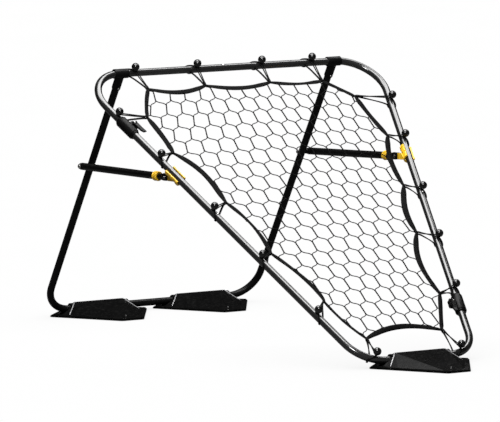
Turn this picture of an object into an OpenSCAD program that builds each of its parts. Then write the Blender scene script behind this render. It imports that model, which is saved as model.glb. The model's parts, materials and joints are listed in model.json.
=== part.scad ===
// Pitch back rebounder: a leaning ring frame with a net laced inside it, held up by a
// folding rear leg frame and two adjusting arms, on three broad feet.
//
// +Z is up, X runs along the bars, and a ball comes from -Y. The origin is on the floor,
// under the middle of the whole object. Sub-parts of the ring frame are drawn in the plane
// of that frame (X along the bars, Y up the plane, Z towards the ball).

/* [Tubing] */
// Outer diameter of every frame tube
tube_d = 25.4; // [24:0.1:27]
// Wall thickness of the tubes
tube_wall = 1.5; // [1.2:0.1:2]
// Length of the swaged spigot inside a tube joint
spigot_len = 55; // [40:1:70]

/* [Ring frame] */
// Length of the ring from the top bar's axis to the bottom bar's axis
ring_len = 1494; // [1400:1:1600]
// Half width between the side tubes where their lines meet the top bar's axis
ring_top_half = 624; // [600:1:650]
// Half width between the side tubes where their lines meet the bottom bar's axis
ring_foot_half = 227; // [220:1:260]
// Centre-line radius of the top bends
top_bend_r = 135; // [115:1:150]
// Centre-line radius of the bottom bends
foot_bend_r = 127; // [110:1:128]
// Lean of the ring from the vertical, in degrees
ring_lean = 53.44; // [50:0.1:56]
// Height of the bottom bar's axis above the floor
bar_h = 24; // [22:0.5:28]

/* [Leg frame] */
// Half distance between the two legs
leg_half = 442; // [430:1:450]
// Lean of the legs from the vertical, in degrees
leg_lean = 31; // [28:0.5:34]
// Centre-line radius of the leg bends
leg_bend_r = 105; // [90:1:107]
// Distance down the leg from the top bar's axis to the arm's bolt
arm_bolt_at = 397; // [380:1:420]

/* [Arms] */
// Distance down the ring at which the left arm's line meets the side tube
clip_at_left = 548; // [505:1:555]
// Distance down the ring at which the right arm's line meets the side tube
clip_at_right = 515; // [505:1:555]
// Distance up the tube from an arm's line to the middle of its clip
clip_up = 19; // [0:1:22]
// Gap between a leg and its arm, filled by a spacer
arm_gap = 8; // [6:0.5:10]
// Distance from the bolt to the outer tube's mouth
arm_outer_len = 508; // [495:1:512]
// Distance from the bolt to the clip's rivet
rivet_at = 565; // [562:1:568]

/* [Feet] */
// Half width of a foot's plate along the bar
foot_half_w = 204; // [190:1:215]
// Reach of the plate in front of the bar
foot_front = 240; // [210:1:260]
// Reach of the plate behind the bar
foot_rear = 132; // [110:1:150]
// Distance of each rear foot from the middle
rear_foot_x = 215; // [207:1:216]

/* [Net and bungees] */
// Diameter of a bungee ball
ball_d = 28; // [24:1:30]
// Width of the webbing round the net
web_w = 20; // [16:1:24]
// Distance of the net in front of the ring's plane
net_off = 6; // [4:0.5:8]

/* [Hidden] */

$fn = 64;
tube_r = tube_d / 2;
bore_r = tube_r - tube_wall;
spigot_r = bore_r - 0.1;
joint_gap = 0.4;      // between the ends of two joined tubes
run = 0.08;           // radial clearance of a part that turns on a tube
seat = 0.05;          // radial clearance of a part that stays put on a tube
plug_len = 8;         // solid length of a tube end that carries a spigot
bend_swell = 0.1;
lap = 1;              // of a straight into its bend
button_in = 25;       // distance of a spring button from its tube joint
hole_r = 4.1;         // of the holes for spring buttons

// Places of the ring and the legs
rise = ring_len * cos(ring_lean);
hinge_z = bar_h + rise;
leg_len = rise / cos(leg_lean);
y_front = -ring_len * sin(ring_lean) - foot_front;
y_rear = leg_len * sin(leg_lean) + foot_rear;
hinge_y = -(y_front + y_rear) / 2;

// Outline of the ring in its own plane
side_lean = atan((ring_top_half - ring_foot_half) / ring_len);
top_tangent = top_bend_r * tan((90 + side_lean) / 2);
foot_tangent = foot_bend_r * tan((90 - side_lean) / 2);
top_arc = [ring_top_half - top_tangent, -top_bend_r];
foot_arc = [ring_foot_half - foot_tangent, -ring_len + foot_bend_r];
function side_x(s) = ring_top_half - s * tan(side_lean);

// Distance along a side tube from its top bend's end, and its length down to the foot bend
function side_t(s) = (s - top_bend_r * (1 + sin(side_lean))) / cos(side_lean);
foot_t = side_t(ring_len - foot_bend_r * (1 - sin(side_lean)));

// Distances down the ring of the tube joints and the clamping sleeves
joint_left = 770;
joint_right = 734;
sleeve_left = 277;
sleeve_right = 1262;
sleeve_len = 84;
sleeve_r = 20;

// Arms, in their own planes beside the legs
arm_x = leg_half + tube_d + arm_gap;
arm_back = [hinge_y + arm_bolt_at * sin(leg_lean), hinge_z - arm_bolt_at * cos(leg_lean)];
function clip_at(side) = side < 0 ? clip_at_left : clip_at_right;
function clip_pt(side) =
    [hinge_y - clip_at(side) * sin(ring_lean), hinge_z - clip_at(side) * cos(ring_lean)];
function arm_way(side) = clip_pt(side) - arm_back;
function arm_len(side) = norm(arm_way(side));
function arm_slope(side) = atan2(arm_way(side)[1], -arm_way(side)[0]);
inner_r = bore_r - 0.25;
inner_from = 170;
fork_from = 543;
fork_r = 13;
tongue_w = 9.8;
slot_w = 10.2;
clip_len = 62;
clip_r = 19.5;
clip_bore = tube_r + 1.6;   // room to leave the tube without bending
clip_tilt = 8;              // the mouth is turned towards the net

// Balls: [x or side, distance down the ring]. Net corners: [x, distance down the ring]
top_balls = [-391, -137, 131, 342];
left_balls = [222, 444, 722, 971, 1256];
right_balls = [222, 425, 694, 937, 1186];
foot_balls = [-171, 171];
foot_ball_s = ring_len - 18;
ball_off = tube_r + ball_d / 2 + 1;
net_points = [
    [-380, 88], [-144, 88], [122, 92], [336, 101],
    [435, 198], [458, 411], [386, 669], [312, 907], [244, 1206], [153, 1387],
    [-162, 1398], [-235, 1202], [-319, 952], [-365, 689], [-447, 426], [-458, 237]
];
ball_points = concat(
    [for (x = top_balls) [x, 0]],
    [for (s = right_balls) [side_x(s), s]],
    [[foot_balls[1], foot_ball_s], [foot_balls[0], foot_ball_s]],
    [for (i = [4:-1:0]) [-side_x(left_balls[i]), left_balls[i]]]
);

// Feet
plate_t = 4;
shell_t = 3;
ridge_half = 100;
ridge_top = 47;
moulding_half = 119;
tip_half = 45;
tail_half = 70;

// Colours
gloss_black = [0.09, 0.09, 0.1];
satin_black = [0.06, 0.06, 0.065];
moulded_black = [0.05, 0.05, 0.05];
clip_yellow = [0.93, 0.73, 0.08];
bright_steel = [0.75, 0.75, 0.77];

// ---------------------------------------------------------------- frames of reference

module on_ring() {
    translate([0, hinge_y, hinge_z]) rotate([90 - ring_lean, 0, 0]) children();
}

module on_legs() {
    translate([0, hinge_y, hinge_z]) rotate([90 + leg_lean, 0, 0]) children();
}

// At distance s down a side tube: X outwards, Y up the tube, Z towards the ball
module on_side(side, s) {
    on_ring() mirror([side < 0 ? 1 : 0, 0, 0])
        translate([side_x(s), -s, 0]) rotate([0, 0, -side_lean]) children();
}

// At an arm's bolt, with the arm running along -Y
module on_arm(side) {
    translate([side * arm_x, arm_back[0], arm_back[1]]) rotate([-arm_slope(side), 0, 0])
        children();
}

module along_x(r, h, center = true) {
    rotate([0, 90, 0]) cylinder(r = r, h = h, center = center);
}

module along_y(r, from, to) {
    translate([0, to, 0]) rotate([90, 0, 0]) cylinder(r = r, h = to - from);
}

// ---------------------------------------------------------------- tubes

// A bend about the origin in the drawing plane, from angle a to angle b. It is fuller than
// the straights by a hair, so their laps lie inside it.
module bend(bend_r, a, b, r) {
    rotate_extrude(angle = b - a, start = a, $fn = 96)
        translate([bend_r, 0]) circle(r = r + bend_swell, $fn = 64);
}

// A rod from x = from to x = to
module bar(r, from, to) {
    translate([from, 0, 0]) rotate([0, 90, 0]) cylinder(r = r, h = to - from);
}

// The lower end of the right top bend: X outwards, Y up the side tube
module side_frame() {
    translate([top_arc[0], top_arc[1], 0]) rotate([0, 0, -side_lean])
        translate([top_bend_r, 0, 0]) children();
}

// A spigot's outside: it stands out of a tube end at y = 0 and is rooted in that tube's plug
module spigot_out() {
    along_y(spigot_r, -plug_len / 2, spigot_len);
}

// The bore through a spigot and its plug
module spigot_in() {
    along_y(spigot_r - tube_wall, -plug_len - 1, spigot_len + 1);
}

module side_joint(s) {
    side_frame() translate([0, -side_t(s) - joint_gap, 0]) children();
}

module bar_joint() {
    translate([joint_gap / 2, 0, 0]) rotate([0, 0, 90]) children();
}

// The hole for a spring button above a side tube's joint at s
module side_hole(s) {
    side_frame() translate([0, -side_t(s) + button_in, 0]) cylinder(r = hole_r, h = 30);
}

module bar_hole() {
    translate([-button_in, 0, 0]) cylinder(r = hole_r, h = 30);
}

// Half the top bar from x = from, the bend, and the side tube down to s
module top_run(r, from, s, over) {
    bar(r, from, top_arc[0] + lap);
    translate([top_arc[0], top_arc[1], 0]) bend(top_bend_r, -side_lean, 90, r);
    side_frame() along_y(r, -side_t(s) - over, lap);
}

module top_tube_left() {
    color(gloss_black) on_ring() difference() {
        mirror([1, 0, 0]) top_run(tube_r, joint_gap / 2, sleeve_left, 0);
        mirror([1, 0, 0]) top_run(bore_r, joint_gap / 2 - 1, sleeve_left, 1);
        bar_hole();
    }
}

module top_tube_right() {
    color(gloss_black) on_ring() difference() {
        union() {
            top_run(tube_r, joint_gap / 2, joint_right, 0);
            bar_joint() spigot_out();
        }
        top_run(bore_r, joint_gap / 2 + plug_len, joint_right, 1);
        bar_joint() spigot_in();
        side_hole(joint_right);
        bar_hole();
    }
}

// A straight side tube from s0 down to s1 with a spigot up into the tube above it
module side_run(s0, s1) {
    top = -side_t(s0) - joint_gap;
    difference() {
        union() {
            side_frame() along_y(tube_r, -side_t(s1), top);
            side_joint(s0) spigot_out();
        }
        side_frame() along_y(bore_r, -side_t(s1) - 1, top - plug_len);
        side_joint(s0) spigot_in();
    }
}

module side_tube_left() {
    color(gloss_black) on_ring() mirror([1, 0, 0]) difference() {
        side_run(sleeve_left, joint_left);
        side_hole(joint_left);
    }
}

module side_tube_right() {
    color(gloss_black) on_ring() difference() {
        side_run(joint_right, sleeve_right);
        side_hole(joint_right);
    }
}

// A lower corner of the ring: the side tube from inset below its joint at s, and the bend
module corner_run(r, s, inset) {
    side_frame() along_y(r, -foot_t - lap, -side_t(s) - joint_gap - inset);
    translate([foot_arc[0], foot_arc[1], 0]) bend(foot_bend_r, -90, -side_lean, r);
}

module bottom_run(r, inset) {
    mirror([1, 0, 0]) corner_run(r, joint_left, inset);
    corner_run(r, sleeve_right, inset);
    translate([0, -ring_len, 0]) bar(r, -foot_arc[0] - lap, foot_arc[0] + lap);
}

// From the left side joint round the bottom bar to the right sleeve
module bottom_tube() {
    color(gloss_black) on_ring() difference() {
        union() {
            bottom_run(tube_r, 0);
            mirror([1, 0, 0]) side_joint(joint_left) spigot_out();
            side_joint(sleeve_right) spigot_out();
        }
        bottom_run(bore_r, plug_len);
        mirror([1, 0, 0]) side_joint(joint_left) spigot_in();
        side_joint(sleeve_right) spigot_in();
        mirror([1, 0, 0]) side_hole(joint_left);
    }
}

// ---------------------------------------------------------------- clamping sleeves

ear_x = -28;
pin_z = 15;

module sleeve() {
    difference() {
        union() {
            along_y(sleeve_r, -sleeve_len / 2 + 6, sleeve_len / 2 - 6);
            along_y(sleeve_r - 3, -sleeve_len / 2, sleeve_len / 2);
            translate([-36, -16, -9]) cube([22, 32, 18]);
        }
        along_y(tube_r + seat, -sleeve_len, sleeve_len);
        translate([-40, -sleeve_len, -1]) cube([40, 2 * sleeve_len, 2]);
        translate([ear_x, 0, -20]) cylinder(r = 2.9, h = 40);
    }
}

// The lever lies down the tube and swings out towards the ball about a cross pin
module clamp_lever() {
    difference() {
        union() {
            translate([ear_x, 0, pin_z]) along_x(5.5, 16);
            hull() {
                translate([ear_x, 0, pin_z]) along_x(4.5, 15, $fn = 32);
                translate([ear_x - 2, -40, pin_z]) along_x(3.5, 13, $fn = 32);
            }
            hull() {
                translate([ear_x - 2, -40, pin_z]) along_x(3.5, 13, $fn = 32);
                translate([ear_x - 2, -53, pin_z + 3]) along_x(2.5, 11, $fn = 32);
            }
        }
        translate([ear_x, 0, pin_z]) along_x(2.06, 30);
        translate([ear_x - 3.3, -9, 0]) cube([6.6, 20, 40]);
    }
}

module clamp_bolt() {
    difference() {
        union() {
            translate([ear_x, 0, -15]) cylinder(r = 2.8, h = 15 + pin_z);
            translate([ear_x, 0, pin_z]) along_x(4.5, 6.2);
        }
        translate([ear_x, 0, pin_z]) along_x(2.05, 30);
    }
}

module clamp_nut() {
    difference() {
        translate([ear_x, 0, -14]) cylinder(r = 6, h = 4.8, $fn = 6);
        translate([ear_x, 0, -20]) cylinder(r = 2.85, h = 20);
    }
}

module frame_sleeve_left() { color(moulded_black) on_side(-1, sleeve_left) sleeve(); }
module frame_sleeve_right() { color(moulded_black) on_side(1, sleeve_right) sleeve(); }
module clamp_lever_left() { color(moulded_black) on_side(-1, sleeve_left) clamp_lever(); }
module clamp_lever_right() { color(moulded_black) on_side(1, sleeve_right) clamp_lever(); }

module clamp_bolts() {
    color(bright_steel) {
        on_side(-1, sleeve_left) clamp_bolt();
        on_side(1, sleeve_right) clamp_bolt();
    }
}

module clamp_pins() {
    color(bright_steel) {
        on_side(-1, sleeve_left) translate([ear_x, 0, pin_z]) along_x(2, 15.6);
        on_side(1, sleeve_right) translate([ear_x, 0, pin_z]) along_x(2, 15.6);
    }
}

module clamp_nuts() {
    color(bright_steel) {
        on_side(-1, sleeve_left) clamp_nut();
        on_side(1, sleeve_right) clamp_nut();
    }
}

// ---------------------------------------------------------------- spring buttons

// A spring button that stands out of a tube along +Z, with its flange inside the spigot
module button(out) {
    translate([0, 0, 5]) cylinder(r = 4, h = tube_r - 5 + out);
    translate([0, 0, tube_r + out]) intersection() {
        cylinder(r = 4, h = 2.5);
        translate([0, 0, -2.5]) sphere(r = 5);
    }
    translate([0, 0, 4]) cylinder(r = 5.2, h = 2);
}

module top_bar_button() {
    color(bright_steel) on_ring() translate([-button_in, 0, 0]) button(1);
}

module side_button_left() {
    color(bright_steel) on_ring() mirror([1, 0, 0]) side_frame()
        translate([0, -side_t(joint_left) + button_in, 0]) button(1);
}

module side_button_right() {
    color(bright_steel) on_ring() side_frame()
        translate([0, -side_t(joint_right) + button_in, 0]) button(1);
}

// ---------------------------------------------------------------- net and bungees

module bungee_balls() {
    color(gloss_black) on_ring()
        for (p = ball_points) translate([p[0], -p[1], ball_off]) sphere(d = ball_d, $fn = 32);
}

// Each loop is a pair of cords from just clear of its tube to just clear of the webbing
module bungee_cords() {
    cord_r = 1.5;
    color(satin_black) on_ring() for (i = [0:len(ball_points) - 1]) {
        a = [ball_points[i][0], -ball_points[i][1]];
        b = [net_points[i][0], -net_points[i][1]];
        d = (b - a) / norm(b - a);
        w = [-d[1], d[0]];
        for (side = [-1, 1])
            translate([0, 0, net_off])
                rod(a + 24 * d + side * 4 * w, b - 4 * d + side * 3 * w, cord_r, $fn = 24);
    }
}

// A rod in the drawing plane from p to q
module rod(p, q, r) {
    d = q - p;
    translate([p[0], p[1], 0]) rotate([0, 0, atan2(d[1], d[0])]) bar(r, 0, norm(d));
}

module net_outline() {
    polygon([for (p = net_points) [p[0], -p[1]]]);
}

module net_border() {
    color(satin_black) on_ring() translate([0, 0, net_off - 1.5]) linear_extrude(3)
        difference() {
            net_outline();
            offset(delta = -web_w) net_outline();
        }
}

module net_mesh() {
    color(satin_black) on_ring() translate([0, 0, net_off - 1]) linear_extrude(2)
        offset(delta = -web_w - 1) net_outline();
}

// ---------------------------------------------------------------- feet

// Plan of a foot, with its front towards -Y and the bar along X over the origin
module foot_plan(inset = 0) {
    offset(r = 14 - min(inset, 10), $fn = 32) offset(delta = -14 - max(inset - 10, 0))
        polygon([
            [-foot_half_w, 0], [-tip_half, -foot_front], [tip_half, -foot_front],
            [foot_half_w, 0], [tail_half, foot_rear], [-tail_half, foot_rear]
        ]);
}

// The tent over the bar: a ridge along the bar, hipped ends and a long front slope
module tent(inset) {
    tent_pts = [
        [-170, 2], [-132, -72], [-38, -206], [38, -206], [132, -72], [170, 2],
        [60, 100], [-60, 100]
    ];
    k = 1 - inset / 100;
    hull() {
        for (p = tent_pts)
            translate([p[0] * k, p[1] * k, plate_t]) cylinder(r = 5, h = 2.5, $fn = 16);
        translate([0, 0, ridge_top - 7 - inset]) along_x(7, 2 * ridge_half, $fn = 32);
    }
}

screw_pts = [[-135, -22], [135, -22], [0, -190], [0, 85]];

// Room round the bar beyond the moulding, where its bend starts
module bend_relief() {
    for (end = [0, 1]) mirror([end, 0, 0]) intersection() {
        translate([moulding_half, 0, bar_h]) rotate([0, 90, 0])
            cylinder(r1 = tube_r + 1, r2 = tube_r + 13, h = 60);
        translate([moulding_half - 1, -50, plate_t + shell_t + 0.5]) cube([70, 100, 60]);
    }
}

module foot_shell() {
    difference() {
        union() {
            difference() {
                union() {
                    tent(0);
                    translate([0, 0, plate_t]) linear_extrude(shell_t) foot_plan(4);
                    translate([0, 0, bar_h]) along_x(tube_r + 7, 2 * moulding_half);
                }
                translate([0, 0, -1]) tent(4);
            }
            intersection() {
                union() {
                    for (x = [-moulding_half + 6, -45, 45, moulding_half - 6])
                        translate([x - 6, -40, plate_t]) cube([12, 80, 60]);
                    for (p = screw_pts)
                        translate([p[0], p[1], plate_t]) cylinder(r = 6, h = 30);
                }
                tent(0);
            }
        }
        translate([0, 0, bar_h]) along_x(tube_r + run, 500);
        bend_relief();
        translate([-300, -300, -50]) cube([600, 600, 50 + plate_t + 0.05]);
        for (p = screw_pts) translate([p[0], p[1], 0]) cylinder(r = 2.05, h = 17);
    }
}

module foot_base() {
    difference() {
        linear_extrude(plate_t) foot_plan(0);
        for (p = screw_pts) {
            translate([p[0], p[1], -1]) cylinder(r = 2.1, h = 10);
            translate([p[0], p[1], -1]) cylinder(r = 4.6, h = 3.4);
        }
    }
}

module foot_screws() {
    for (p = screw_pts) translate([p[0], p[1], 0]) {
        translate([0, 0, 0.4]) cylinder(r = 4.4, h = 1.8);
        translate([0, 0, 2]) cylinder(r = 2, h = 12);
    }
}

module at_front_foot() {
    translate([0, hinge_y - ring_len * sin(ring_lean), 0]) children();
}

module at_rear_foot(side) {
    translate([side * rear_foot_x, hinge_y + leg_len * sin(leg_lean), 0]) children();
}

module front_foot_shell() { color(moulded_black) at_front_foot() foot_shell(); }
module front_foot_base() { color(moulded_black) at_front_foot() foot_base(); }
module front_foot_screws() { color(bright_steel) at_front_foot() foot_screws(); }
module rear_foot_shell_left() { color(moulded_black) at_rear_foot(-1) foot_shell(); }
module rear_foot_shell_right() { color(moulded_black) at_rear_foot(1) foot_shell(); }
module rear_foot_base_left() { color(moulded_black) at_rear_foot(-1) foot_base(); }
module rear_foot_base_right() { color(moulded_black) at_rear_foot(1) foot_base(); }
module rear_foot_screws_left() { color(bright_steel) at_rear_foot(-1) foot_screws(); }
module rear_foot_screws_right() { color(bright_steel) at_rear_foot(1) foot_screws(); }

// ---------------------------------------------------------------- leg frame

coupling_half = 27;
bend_room = 2;        // in a tee's outer end, for the start of the top bend
socket_end = 62;
leg_top = 20;
leg_button_at = 54;
bolt_r = 4;

// A tee that turns on the top bar and takes the leg in its socket
module coupling() {
    difference() {
        union() {
            along_x(16.8, 2 * coupling_half);
            along_y(15.4, -socket_end, 0);
        }
        along_x(tube_r + run, 100);
        translate([top_arc[0] - leg_half - 3, 0, 0]) bar(tube_r + bend_room, 0, 50);
        along_y(tube_r + seat, -100, -leg_top + 1);
        translate([0, -leg_button_at, 0]) cylinder(r = 4.15, h = 30);
    }
}

module leg_coupling_left() {
    color(moulded_black) on_legs() mirror([1, 0, 0]) translate([leg_half, 0, 0]) coupling();
}

module leg_coupling_right() {
    color(moulded_black) on_legs() translate([leg_half, 0, 0]) coupling();
}

// Half the leg frame: from y = top down the leg, round the bend and in to x = near
module leg_run(r, top, near) {
    translate([leg_half, 0, 0]) along_y(r, -leg_len + leg_bend_r - lap, top);
    translate([leg_half - leg_bend_r, -leg_len + leg_bend_r, 0]) bend(leg_bend_r, -90, 0, r);
    translate([0, -leg_len, 0]) bar(r, near, leg_half - leg_bend_r + lap);
}

module leg_holes() {
    translate([leg_half, -arm_bolt_at, 0]) along_x(bolt_r + 0.1, 60);
    translate([leg_half, -leg_button_at, 0]) cylinder(r = hole_r, h = 30);
}

module rear_bar_hole() {
    translate([-button_in, -leg_len, -30]) cylinder(r = hole_r, h = 30);
}

module leg_tube_left() {
    color(satin_black) on_legs() difference() {
        mirror([1, 0, 0]) leg_run(tube_r, -leg_top, joint_gap / 2);
        mirror([1, 0, 0]) leg_run(bore_r, -leg_top + 1, joint_gap / 2 - 1);
        mirror([1, 0, 0]) leg_holes();
        rear_bar_hole();
    }
}

module leg_tube_right() {
    color(satin_black) on_legs() difference() {
        union() {
            leg_run(tube_r, -leg_top, joint_gap / 2);
            translate([0, -leg_len, 0]) bar_joint() spigot_out();
        }
        leg_run(bore_r, -leg_top + 1, joint_gap / 2 + plug_len);
        translate([0, -leg_len, 0]) bar_joint() spigot_in();
        leg_holes();
        rear_bar_hole();
    }
}

module leg_button(side) {
    color(bright_steel) on_legs() translate([side * leg_half, -leg_button_at, 0]) button(3);
}

module leg_button_left() { leg_button(-1); }
module leg_button_right() { leg_button(1); }

// On the rear side of the rear bar
module rear_bar_button() {
    color(bright_steel) on_legs()
        translate([-button_in, -leg_len, 0]) rotate([0, 180, 0]) button(1);
}

// Bolts: through the arm's end, the spacer and the leg, with the head outside
head_x = tube_r + 0.5;

module each_arm() {
    for (side = [-1, 1]) on_arm(side) mirror([side < 0 ? 1 : 0, 0, 0]) children();
}

module arm_bolts() {
    color(bright_steel) each_arm() {
        translate([head_x, 0, 0]) rotate([0, 90, 0]) intersection() {
            cylinder(r = 8, h = 4.5);
            translate([0, 0, -6]) sphere(r = 10.5);
        }
        translate([-tube_r * 3 - arm_gap - 10, 0, 0]) rotate([0, 90, 0])
            cylinder(r = bolt_r, h = head_x + tube_r * 3 + arm_gap + 10);
    }
}

module arm_nuts() {
    color(bright_steel) each_arm() translate([-tube_r * 3 - arm_gap - 7.5, 0, 0])
        rotate([0, 90, 0]) difference() {
            cylinder(r = 7.5, h = 6.5, $fn = 6);
            translate([0, 0, -1]) cylinder(r = bolt_r + seat, h = 10);
        }
}

module arm_spacers() {
    color(moulded_black) each_arm() translate([-tube_r - arm_gap + 0.2, 0, 0])
        rotate([0, 90, 0]) difference() {
            cylinder(r = 8.5, h = arm_gap - 0.4);
            translate([0, 0, -1]) cylinder(r = bolt_r + seat, h = 20);
        }
}

// ---------------------------------------------------------------- adjusting arms

end_len = 22;

module arm_tube(side) {
    color(satin_black) on_arm(side) difference() {
        along_y(tube_r, -arm_outer_len, -end_len);
        along_y(bore_r, -arm_outer_len - 1, -end_len + 1);
    }
}

// Rounded plastic end with the bolt's bore and a spigot into the tube
module arm_end(side) {
    color(moulded_black) on_arm(side) difference() {
        union() {
            intersection() {
                along_y(tube_r, -end_len + 0.1, tube_r);
                union() {
                    along_x(tube_r, 40);
                    translate([-20, -end_len + 0.1, -20]) cube([40, end_len - 0.1, 40]);
                }
            }
            along_y(spigot_r, -end_len - 25, -end_len + 0.1);
        }
        along_x(bolt_r + 0.06, 60);
    }
}

// Twist collar round the outer tube's mouth
module arm_collar(side) {
    color(clip_yellow) on_arm(side) difference() {
        union() {
            along_y(17, -arm_outer_len - 1, -arm_outer_len + 19);
            along_y(15.5, -arm_outer_len - 4, -arm_outer_len + 22);
        }
        along_y(tube_r + run, -arm_outer_len - 0.3, -arm_outer_len + 30);
        along_y(inner_r + 0.15, -arm_outer_len - 10, -arm_outer_len + 5);
    }
}

module arm_inner_tube(side) {
    color(satin_black) on_arm(side) difference() {
        along_y(inner_r, -fork_from - 10, -inner_from);
        along_y(inner_r - tube_wall, -fork_from - 20, -inner_from + 1);
    }
}

// Black bush on the inner tube's end, forked for the clip's tongue
module arm_fork(side) {
    color(moulded_black) on_arm(side) difference() {
        intersection() {
            along_y(fork_r, -rivet_at - fork_r, -fork_from);
            union() {
                translate([0, -rivet_at, 0]) along_x(fork_r, 40);
                translate([-20, -rivet_at, -20]) cube([40, rivet_at - fork_from, 40]);
            }
        }
        along_y(inner_r + seat, -fork_from - 10.2, -fork_from + 1);
        translate([-slot_w / 2, -rivet_at - 20, -20]) cube([slot_w, 31.4, 40]);
        translate([0, -rivet_at, 0]) along_x(3.05, 40);
    }
}

module clip_rivet(side) {
    color(bright_steel) on_arm(side) translate([0, -rivet_at, 0]) {
        along_x(3, 2 * fork_r + 1.6);
        for (end = [-1, 1]) translate([end * (fork_r + 0.9), 0, 0]) along_x(5, 1.6);
    }
}

// The yellow clip: a snap channel round the side tube, and a neck back to the rivet
module clip_body(side) {
    on_side(side, clip_at(side) - clip_up) rotate([0, -clip_tilt, 0]) {
        along_y(clip_r, -clip_len / 2, clip_len / 2);
        for (y = [-clip_len / 2 + 4, clip_len / 2 - 4]) along_y(clip_r + 1.5, y - 4, y + 4);
    }
    neck = arm_len(side) - 4 - rivet_at - 15;
    on_arm(side) translate([-9, -arm_len(side) + 4, -11]) cube([18, neck, 22]);
}

module clip_channel(side) {
    on_side(side, clip_at(side) - clip_up) rotate([0, -clip_tilt, 0]) {
        along_y(clip_bore, -clip_len, clip_len);
        translate([-40, -clip_len, 0]) cube([80, 2 * clip_len, 60]);
    }
}

module tube_clip(side) {
    color(clip_yellow) difference() {
        union() {
            difference() {
                clip_body(side);
                clip_channel(side);
            }
            on_arm(side) {
                translate([-tongue_w / 2, -rivet_at - 18, -9]) cube([tongue_w, 18, 18]);
                translate([0, -rivet_at, 0]) along_x(9, tongue_w);
            }
        }
        on_arm(side) translate([0, -rivet_at, 0]) along_x(3.06, 60);
    }
}

module arm_tube_left() { arm_tube(-1); }
module arm_tube_right() { arm_tube(1); }
module arm_end_left() { arm_end(-1); }
module arm_end_right() { arm_end(1); }
module arm_collar_left() { arm_collar(-1); }
module arm_collar_right() { arm_collar(1); }
module arm_inner_tube_left() { arm_inner_tube(-1); }
module arm_inner_tube_right() { arm_inner_tube(1); }
module arm_fork_left() { arm_fork(-1); }
module arm_fork_right() { arm_fork(1); }
module clip_rivet_left() { clip_rivet(-1); }
module clip_rivet_right() { clip_rivet(1); }
module tube_clip_left() { tube_clip(-1); }
module tube_clip_right() { tube_clip(1); }

top_tube_left();
top_tube_right();
side_tube_left();
side_tube_right();
bottom_tube();
frame_sleeve_left();
frame_sleeve_right();
clamp_lever_left();
clamp_lever_right();
clamp_bolts();
clamp_pins();
clamp_nuts();
top_bar_button();
side_button_left();
side_button_right();
bungee_balls();
bungee_cords();
net_border();
net_mesh();
front_foot_shell();
front_foot_base();
front_foot_screws();
rear_foot_shell_left();
rear_foot_shell_right();
rear_foot_base_left();
rear_foot_base_right();
rear_foot_screws_left();
rear_foot_screws_right();
leg_coupling_left();
leg_coupling_right();
leg_tube_left();
leg_tube_right();
leg_button_left();
leg_button_right();
rear_bar_button();
arm_bolts();
arm_nuts();
arm_spacers();
arm_tube_left();
arm_tube_right();
arm_end_left();
arm_end_right();
arm_collar_left();
arm_collar_right();
arm_inner_tube_left();
arm_inner_tube_right();
arm_fork_left();
arm_fork_right();
clip_rivet_left();
clip_rivet_right();
tube_clip_left();
tube_clip_right();
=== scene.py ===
"""The looks of the pitch back rebounder, built round its CAD frame.

The tubes, sleeves, feet and arms are the CAD nodes with finishes of their own. The laced net,
its webbing, the ball bungees, the collars, the clips' lips and the feet's ribs are modelled
here. Design values are in millimetres, and a place in the ring frame is (x along the bars, s
down the ring, n towards the ball); place() turns it into metres.
"""

import json
import math
import random

import bpy
from mathutils import Matrix, Vector


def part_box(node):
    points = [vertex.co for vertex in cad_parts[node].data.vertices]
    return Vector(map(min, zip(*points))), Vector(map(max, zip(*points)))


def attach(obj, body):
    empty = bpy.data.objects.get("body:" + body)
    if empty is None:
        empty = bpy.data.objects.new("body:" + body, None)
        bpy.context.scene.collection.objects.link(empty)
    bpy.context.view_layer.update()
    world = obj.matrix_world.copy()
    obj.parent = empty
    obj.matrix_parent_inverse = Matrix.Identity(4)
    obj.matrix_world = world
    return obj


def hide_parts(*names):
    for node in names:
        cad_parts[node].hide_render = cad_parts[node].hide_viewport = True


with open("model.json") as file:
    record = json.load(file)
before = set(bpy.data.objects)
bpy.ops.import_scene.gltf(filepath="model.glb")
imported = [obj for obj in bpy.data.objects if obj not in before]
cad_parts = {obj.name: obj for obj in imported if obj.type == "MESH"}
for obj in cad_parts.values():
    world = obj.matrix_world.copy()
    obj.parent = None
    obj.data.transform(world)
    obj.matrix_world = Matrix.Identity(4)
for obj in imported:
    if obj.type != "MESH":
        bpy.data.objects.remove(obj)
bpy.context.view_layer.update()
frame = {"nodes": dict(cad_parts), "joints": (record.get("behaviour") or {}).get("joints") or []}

MM = 0.001
RANDOM = random.Random(11)

# ---------------------------------------------------------------- places from the CAD frame

joints = {j["name"]: j for j in frame["joints"]}


def joint_at(name):
    return Vector(joints[name]["pos_m"])


def joint_axis(name):
    return Vector(joints[name]["axis"]).normalized()


HINGE = joint_at("leg_fold")
FOOT = joint_at("front_foot_turn")
X = Vector((1, 0, 0))
UP = Vector((0, HINGE.y - FOOT.y, HINGE.z - FOOT.z)).normalized()
OUT = X.cross(UP)
RING_LEN = (HINGE - FOOT).length / MM
low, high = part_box("arm_tube_left")
TUBE_R = (high.x - low.x) / 2 / MM


def place(x, s, n=0.0):
    """A place in the ring frame, as a point in metres."""
    return HINGE + (X * x - UP * s + OUT * n) * MM


def ring_coords(p):
    d = Vector(p) - HINGE
    return d.x / MM, -d.dot(UP) / MM, d.dot(OUT) / MM


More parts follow.
